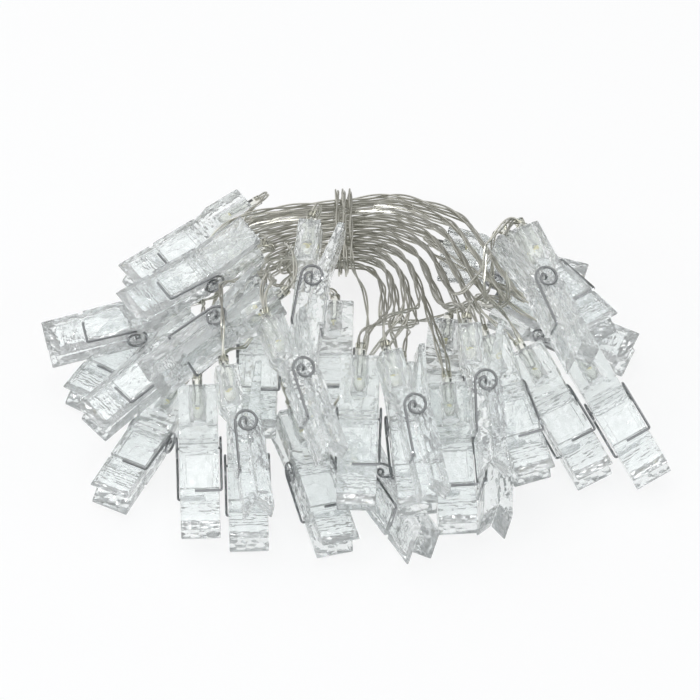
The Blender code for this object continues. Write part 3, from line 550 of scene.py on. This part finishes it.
# Clear polystyrene from a mould that has been polished by hand, so that its faces aren't quite flat:
# glassy, a cool white, with many small glints. Rays from the lamps go straight through it, because
# the light that a clear part bends would take far too long to follow.
clear = bpy.data.materials.new("clear moulded polystyrene")
clear.use_nodes = True
shader = clear.node_tree.nodes["Principled BSDF"]
shader.inputs["Base Color"].default_value = linear("#F5F7F7")
shader.inputs["Roughness"].default_value = 0.04
shader.inputs["IOR"].default_value = 1.49
shader.inputs["Transmission Weight"].default_value = 0.88
coordinates = add(clear.node_tree, "ShaderNodeTexCoord")
facets = add(clear.node_tree, "ShaderNodeTexVoronoi", {
    "Vector": coordinates.outputs["Object"], "Scale": 360.0})
waves = add(clear.node_tree, "ShaderNodeBump", {
    "Height": facets.outputs["Distance"], "Distance": 0.55 * mm, "Strength": 1.0})
clear.node_tree.links.new(waves.outputs["Normal"], shader.inputs["Normal"])
seen = add(clear.node_tree, "ShaderNodeLightPath")
let_through = add(clear.node_tree, "ShaderNodeBsdfTransparent", {"Color": linear("#EEF0F0")})
either = add(clear.node_tree, "ShaderNodeMixShader", {
    0: seen.outputs["Is Shadow Ray"], 1: shader.outputs[0], 2: let_through.outputs[0]})
clear.node_tree.links.new(either.outputs[0], clear.node_tree.nodes["Material Output"].inputs["Surface"])


# The spring of a clip: one bright steel wire. It hooks over the jaws, runs back along the side,
# curls once round the pivot, turns in to its middle and passes through it to the other side.
spring_wire = 0.8 * mm
spring_clearance = 0.3 * mm
spiral_outer = 3.4 * mm
spiral_inner = 1.1 * mm
spiral_turns = 1.25
spiral_curve = 2.5
spiral_points = 33
hook_length = 8.2 * mm
spring_step = 0.35 * mm
spring_reach = 0.4 * mm
spring_sides = 8


def spring_line():
    """Hook, arm and spiral on one side, straight through the pivot, and the same on the other."""
    side = clip_width / 2 + spring_clearance + spring_wire / 2
    rise = jaw_half - groove_depth + spring_clearance + spring_wire / 2
    share = np.linspace(0, 1, spiral_points)
    angle = math.pi / 2 + 2 * math.pi * spiral_turns * share
    radius = spiral_outer + (spiral_inner - spiral_outer) * share ** spiral_curve
    curl = np.column_stack((radius * np.cos(angle), np.full(len(share), side), radius * np.sin(angle)))
    half = np.concatenate((
        [(hook_place, side - hook_length, rise), (hook_place, side, rise)], curl, [(0.0, side, 0.0)]))
    return smoothed(np.concatenate((half, half[::-1] * (1, -1, -1))), spring_step, spring_reach)


def round_wire(line, radius, sides):
    """A circle of this radius round each point of a line, in the two directions across it."""
    one, two = crosswise(line)
    around = 2 * math.pi * np.arange(sides) / sides
    ring = np.cos(around)[:, None] * one[:, None] + np.sin(around)[:, None] * two[:, None]
    return (line[:, None] + radius * ring).reshape(-1, 3)


spring_corners = round_wire(spring_line(), spring_wire / 2, spring_sides)

# Drawn spring steel, bright and plain.
steel = bpy.data.materials.new("bright spring steel")
steel.use_nodes = True
shader = steel.node_tree.nodes["Principled BSDF"]
shader.inputs["Base Color"].default_value = linear("#9A9C9E")
shader.inputs["Metallic"].default_value = 1.0
shader.inputs["Roughness"].default_value = 0.1


# The lamp: a light-emitting chip and its two leads cast in a clear resin capsule, with a round end
# towards the jaw and a narrower neck over the soldered wires.
lamp_radius = 2.4 * mm
lamp_length = 11 * mm
bore_clearance = 0.3 * mm
lamp_bevel = 0.2 * mm
lamp_sides = 20
lead_radius = 0.25 * mm
lead_sides = 6
lead_apart = 0.75 * mm
chip_place = -12.5 * mm
chip_half = 0.8 * mm
chip_sides = 12


def turned_shape(places, radii, sides):
    """A circle of each radius round the lamp's axis at each place along it."""
    around = 2 * math.pi * np.arange(sides) / sides
    circle = np.stack((np.zeros(sides), np.cos(around), np.sin(around)), 1)
    rings = np.array(places)[:, None, None] * (1, 0, 0) + np.array(radii)[:, None, None] * circle
    return (rings + np.array((0, 0, lamp_axis))).reshape(-1, 3)


shoulder = -handle_reach - bore_clearance
dome = np.linspace(0.08, 1, 8) * math.pi / 2
neck_tip = -handle_reach - neck_length
capsule_places = np.concatenate((
    (neck_tip, neck_tip + lamp_bevel, shoulder - lamp_bevel, shoulder, shoulder + 2 * lamp_bevel),
    (shoulder + lamp_length - lamp_radius + lamp_radius * np.cos(dome))[::-1]))
capsule_radii = np.concatenate((
    (neck_radius - lamp_bevel, neck_radius, neck_radius, lamp_radius - 2 * lamp_bevel, lamp_radius),
    (lamp_radius * np.sin(dome))[::-1]))
capsule_corners = turned_shape(capsule_places, capsule_radii, lamp_sides)
lead_places = np.linspace(-handle_reach - neck_length / 2, chip_place, 4)
lead_lines = [np.array([(x, side * lead_apart, lamp_axis) for x in lead_places]) for side in (-1, 1)]
lead_parts = [round_wire(line, lead_radius, lead_sides) for line in lead_lines]
cup_profile = np.array(((0, 0.9), (0.125, 1), (0.875, 1), (1, 0.9))) * chip_half
cup_corners = turned_shape(chip_place + cup_profile[:, 0], cup_profile[:, 1], chip_sides)
chip_profile = np.array(((1.0625, 0.7), (1.125, 0.9), (1.625, 0.8), (1.75, 0.3))) * chip_half
chip_corners = turned_shape(chip_place + chip_profile[:, 0], chip_profile[:, 1], chip_sides)

# Cast resin: as clear as the levers and a little warmer.
resin = bpy.data.materials.new("clear cast resin")
resin.use_nodes = True
shader = resin.node_tree.nodes["Principled BSDF"]
shader.inputs["Base Color"].default_value = linear("#F1F1EA")
shader.inputs["Roughness"].default_value = 0.04
shader.inputs["IOR"].default_value = 1.52
shader.inputs["Transmission Weight"].default_value = 1.0
seen = add(resin.node_tree, "ShaderNodeLightPath")
let_through = add(resin.node_tree, "ShaderNodeBsdfTransparent", {"Color": linear("#F1F1EA")})
either = add(resin.node_tree, "ShaderNodeMixShader", {
    0: seen.outputs["Is Shadow Ray"], 1: shader.outputs[0], 2: let_through.outputs[0]})
resin.node_tree.links.new(either.outputs[0], resin.node_tree.nodes["Material Output"].inputs["Surface"])

# The chip's coating of yellow phosphor, a matt powder in resin.
phosphor = bpy.data.materials.new("yellow phosphor")
phosphor.use_nodes = True
shader = phosphor.node_tree.nodes["Principled BSDF"]
shader.inputs["Base Color"].default_value = linear("#E6D98A")
shader.inputs["Roughness"].default_value = 0.6


# Every clip put together where it lies: two levers snapped over a spring, and a lamp with its leads
# and chip pressed into the handle. Nine clips on top of the heaps open on their springs.
def laid(number, corners, sides):
    """The corners of a clip's piece moved to where that clip lies, and the piece's faces."""
    return pivots[number] + corners @ turns[number].T, closed_skin(corners, sides)


for number, title in enumerate(titles):
    lamp_lever = built(f"{title}_lever_with_lamp", [laid(number, lamp_lever_corners, ring_sides)], clear)
    moving_lever = built(f"{title}_plain_lever", [laid(number, plain_lever_corners, ring_sides)], clear)
    spring = built(f"{title}_spring_wire", [laid(number, spring_corners, spring_sides)], steel)
    capsule = built(f"{title}_capsule", [laid(number, capsule_corners, lamp_sides)], resin)
    lead_pieces = [laid(number, lead, lead_sides) for lead in lead_parts]
    leads = built(f"{title}_leads", lead_pieces + [laid(number, cup_corners, chip_sides)], steel)
    chip = built(f"{title}_chip", [laid(number, chip_corners, chip_sides)], phosphor)
    for piece in (lamp_lever, capsule, leads, chip):
        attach(piece, "heap")
    if opening[number]:
        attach(moving_lever, f"{title}_jaw")
        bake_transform(spring)
        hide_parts(f"{title}_lamp_lever")
        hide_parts(f"{title}_moving_lever")
        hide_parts(f"{title}_spring")
        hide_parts(f"{title}_lamp")
    else:
        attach(moving_lever, "heap")
        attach(spring, "heap")
        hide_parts(title)
